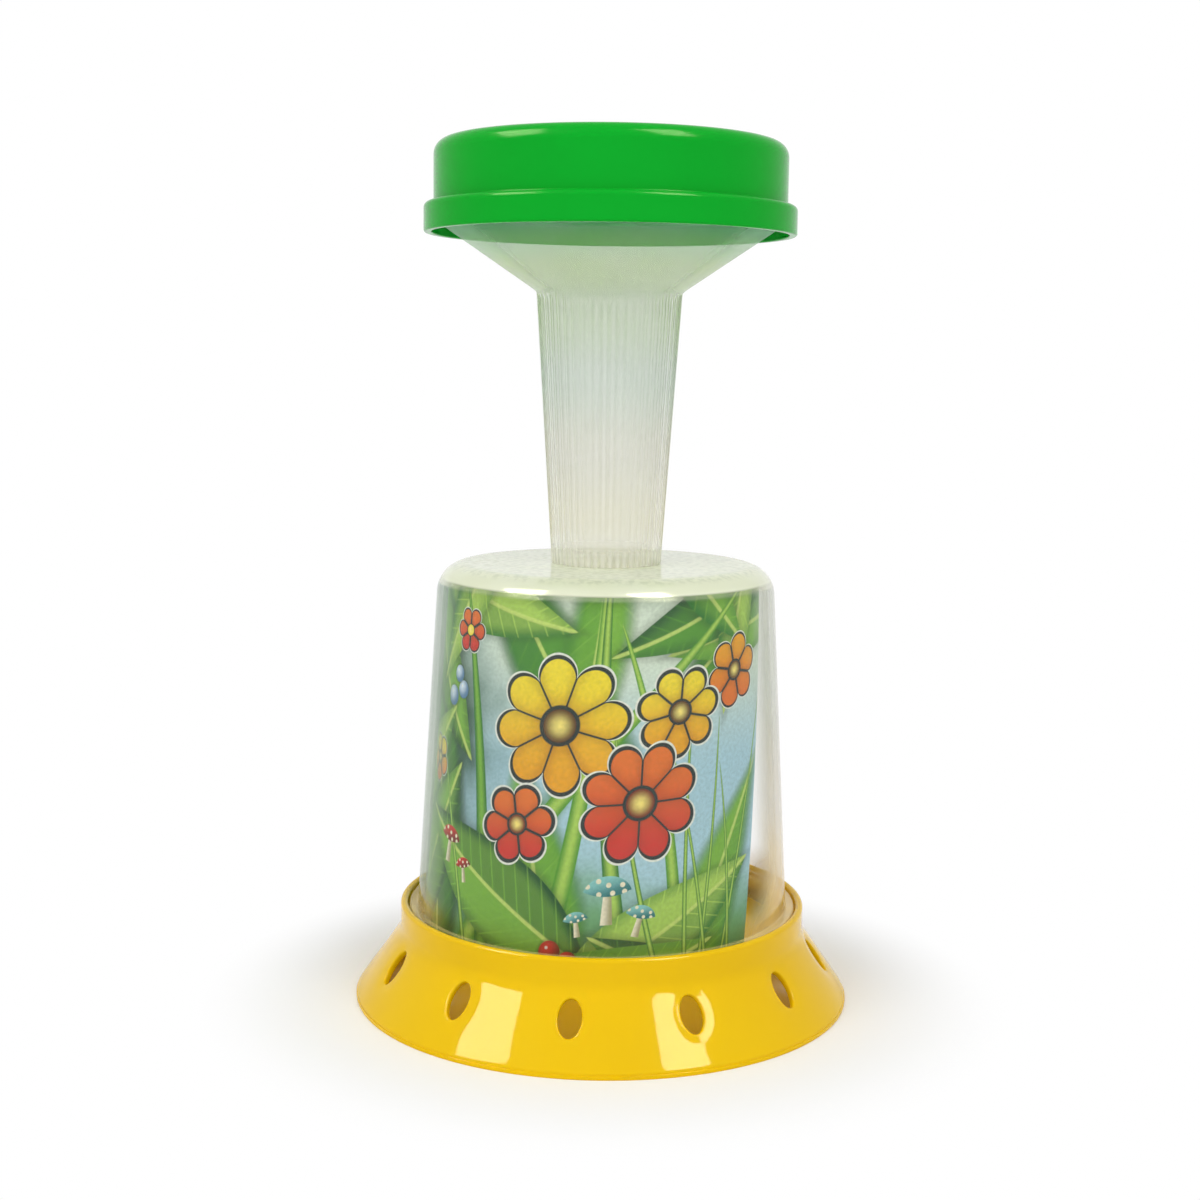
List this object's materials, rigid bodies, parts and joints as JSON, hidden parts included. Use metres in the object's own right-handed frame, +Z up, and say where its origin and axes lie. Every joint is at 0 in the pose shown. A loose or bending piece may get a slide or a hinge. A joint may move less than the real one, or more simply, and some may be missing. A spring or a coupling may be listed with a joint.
{
  "type": "bug catcher jar",
  "caption": "Bug catcher jar: milky jar with a printed insert that twist-locks into a vented base, topped by a ribbed tube handle that opens into a funnel under a push-on cap.",
  "frame": {"origin": "middle of the base's foot, on the surface that it stands on", "axes": "+Z up along the jar's axis, -Y is the front, +X is to the right seen from the front"},
  "size_m": [0.12, 0.12, 0.2043],
  "materials": {
    "base_plastic": "glossy yellow moulding",
    "printed_paper": "satin printed sheet, pale on its back",
    "jar_plastic": "translucent milky moulding, glossy",
    "handle_plastic": "translucent milky moulding, soft gloss",
    "cap_plastic": "glossy green moulding"
  },
  "bodies": {
    "base": {"base": "base_plastic"},
    "sheet": {"insert_sheet": "printed_paper"},
    "jar": {"jar": "jar_plastic", "handle": "handle_plastic"},
    "cap": {"cap": "cap_plastic"}
  },
  "joints": [
    {"name": "jar_turn", "type": "hinge", "parent": "base", "child": "sheet", "pos_m": [0, 0, 0.0165], "axis": [0, 0, -1], "range_deg": [0, 30.7]},
    {"name": "jar_lift", "type": "slide", "parent": "sheet", "child": "jar", "axis": [0, 0, 1], "range_m": [0, 0.04]},
    {"name": "cap_lift", "type": "slide", "parent": "jar", "child": "cap", "axis": [0, 0, 1], "range_m": [0, 0.03]}
  ]
}
